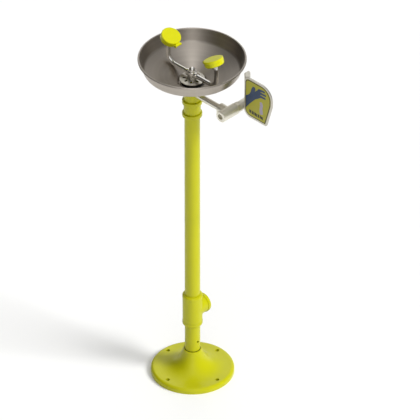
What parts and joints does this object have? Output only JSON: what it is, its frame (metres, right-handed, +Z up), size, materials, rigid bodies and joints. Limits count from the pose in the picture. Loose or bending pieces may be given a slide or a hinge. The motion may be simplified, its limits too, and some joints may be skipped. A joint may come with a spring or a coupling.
{
  "type": "eyewash station",
  "caption": "Pedestal eyewash station: column with floor flange and waste tee, steel bowl, twin spray heads with flip-up covers, and a stay-open valve worked by a flag handle.",
  "frame": {"origin": "centre of the floor flange's anchor circle, on the floor", "axes": "+Z up the column; +X to the user's right, along the spray arms and out to the valve; +Y away from the user, the way the waste outlet and supply inlet face"},
  "size_m": [0.402, 0.292, 1.0804],
  "materials": {
    "powder_coat": "lime-yellow powder coat, semi-gloss",
    "bowl_steel": "spun stainless steel, circular brushing",
    "plate_steel": "stainless sheet, satin",
    "cast_steel": "satin stainless fittings",
    "pipe_steel": "satin stainless pipe",
    "chrome": "bright chrome plate",
    "head_plastic": "moulded lemon-yellow plastic, satin",
    "black_rubber": "black rubber",
    "seal_plastic": "white fluoropolymer",
    "black_plastic": "black moulded plastic",
    "label_film": null
  },
  "bodies": {
    "station": {"base_flange": "powder_coat", "lower_pipe": "powder_coat", "pipe_stopper": "black_plastic", "drain_tee": "powder_coat", "main_pipe": "powder_coat", "pedestal_coupling": "powder_coat", "drain_body": "powder_coat", "bowl_gasket": "black_rubber", "bowl": "bowl_steel", "bowl_washer": "plate_steel", "bowl_locknut": "black_plastic", "supply_riser": "chrome", "strainer": "plate_steel", "strainer_nut": "chrome", "yoke": "chrome", "yoke_cap_nut": "chrome", "supply_nipple": "pipe_steel", "filter_body": "cast_steel", "filter_plug": "cast_steel", "plug_o_ring": "black_rubber", "filter_screen": "plate_steel", "valve_body": "cast_steel", "valve_end_cap": "cast_steel", "ball_seats": "seal_plastic", "stem_packing": "seal_plastic", "packing_nut": "cast_steel", "left_arm": "chrome", "left_swivel_nut": "chrome", "left_head": "head_plastic", "left_spray_plate": "plate_steel", "left_flow_disc": "black_rubber", "left_hinge_pin": "plate_steel", "right_arm": "chrome", "right_swivel_nut": "chrome", "right_head": "head_plastic", "right_spray_plate": "plate_steel", "right_flow_disc": "black_rubber", "right_hinge_pin": "plate_steel"},
    "flag": {"flag_handle": "plate_steel", "flag_label": "label_film", "handle_washer": "plate_steel", "handle_nut": "plate_steel", "valve_stem": "plate_steel", "valve_ball": "chrome"},
    "left_cover": {"left_dust_cover": "head_plastic"},
    "right_cover": {"right_dust_cover": "head_plastic"}
  },
  "joints": [
    {"name": "flag_turn", "type": "hinge", "parent": "station", "child": "flag", "pos_m": [0.136, 0.055, 0.924], "axis": [-1, 0, 0], "range_deg": [0, 90]},
    {"name": "left_cover_flip", "type": "hinge", "parent": "station", "child": "left_cover", "pos_m": [-0.05291, 0, 1.05108], "axis": [0, 1, 0], "range_deg": [0, 110]},
    {"name": "right_cover_flip", "type": "hinge", "parent": "station", "child": "right_cover", "pos_m": [0.05291, 0, 1.05108], "axis": [0, -1, 0], "range_deg": [0, 110]}
  ]
}
